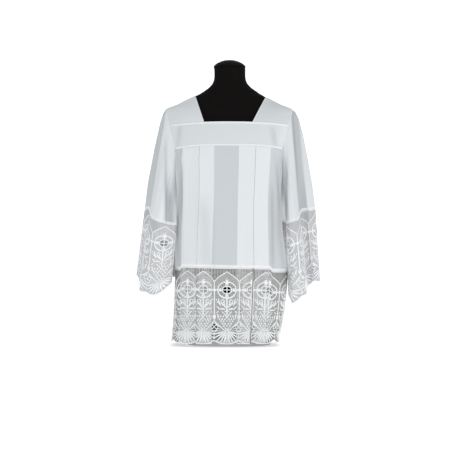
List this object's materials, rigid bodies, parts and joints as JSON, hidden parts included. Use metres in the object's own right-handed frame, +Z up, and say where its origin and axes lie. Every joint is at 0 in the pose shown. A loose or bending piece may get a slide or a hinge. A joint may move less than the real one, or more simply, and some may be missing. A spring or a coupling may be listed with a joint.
{
  "type": "surplice on a limbless dress form",
  "caption": "White surplice with a square neck, inverted box pleats and deep openwork lace at hem and cuffs, shown on a black limbless dress form.",
  "frame": {"origin": "centre of the dress form's flat base, on the floor", "axes": "+Z up, the front of the surplice faces -Y, +X is on the right of someone who looks at the front"},
  "size_m": [0.6466, 0.278, 1.0045],
  "materials": {
    "white_cloth": "plain light cotton, slightly see-through, matt",
    "white_lace": "openwork lace with raised cords, matt",
    "white_tape": "narrow woven tape, slight sheen",
    "black_jersey": "black jersey, matt",
    "black_cap": "black, satin"
  },
  "bodies": {
    "root": {"dress_form": "black_jersey", "neck_cap": "black_cap", "front_yoke": "white_cloth", "back_yoke": "white_cloth", "front_neck_tape": "white_tape", "front_yoke_tape": "white_tape", "back_neck_tape": "white_tape", "back_yoke_tape": "white_tape", "shoulder_left": "white_cloth", "shoulder_right": "white_cloth", "body_front": "white_cloth", "body_back": "white_cloth", "hem_lace_front": "white_lace", "hem_lace_back": "white_lace", "sleeve_left": "white_cloth", "sleeve_right": "white_cloth", "cuff_lace_left_front": "white_lace", "cuff_lace_left_back": "white_lace", "cuff_lace_right_front": "white_lace", "cuff_lace_right_back": "white_lace"}
  },
  "joints": []
}
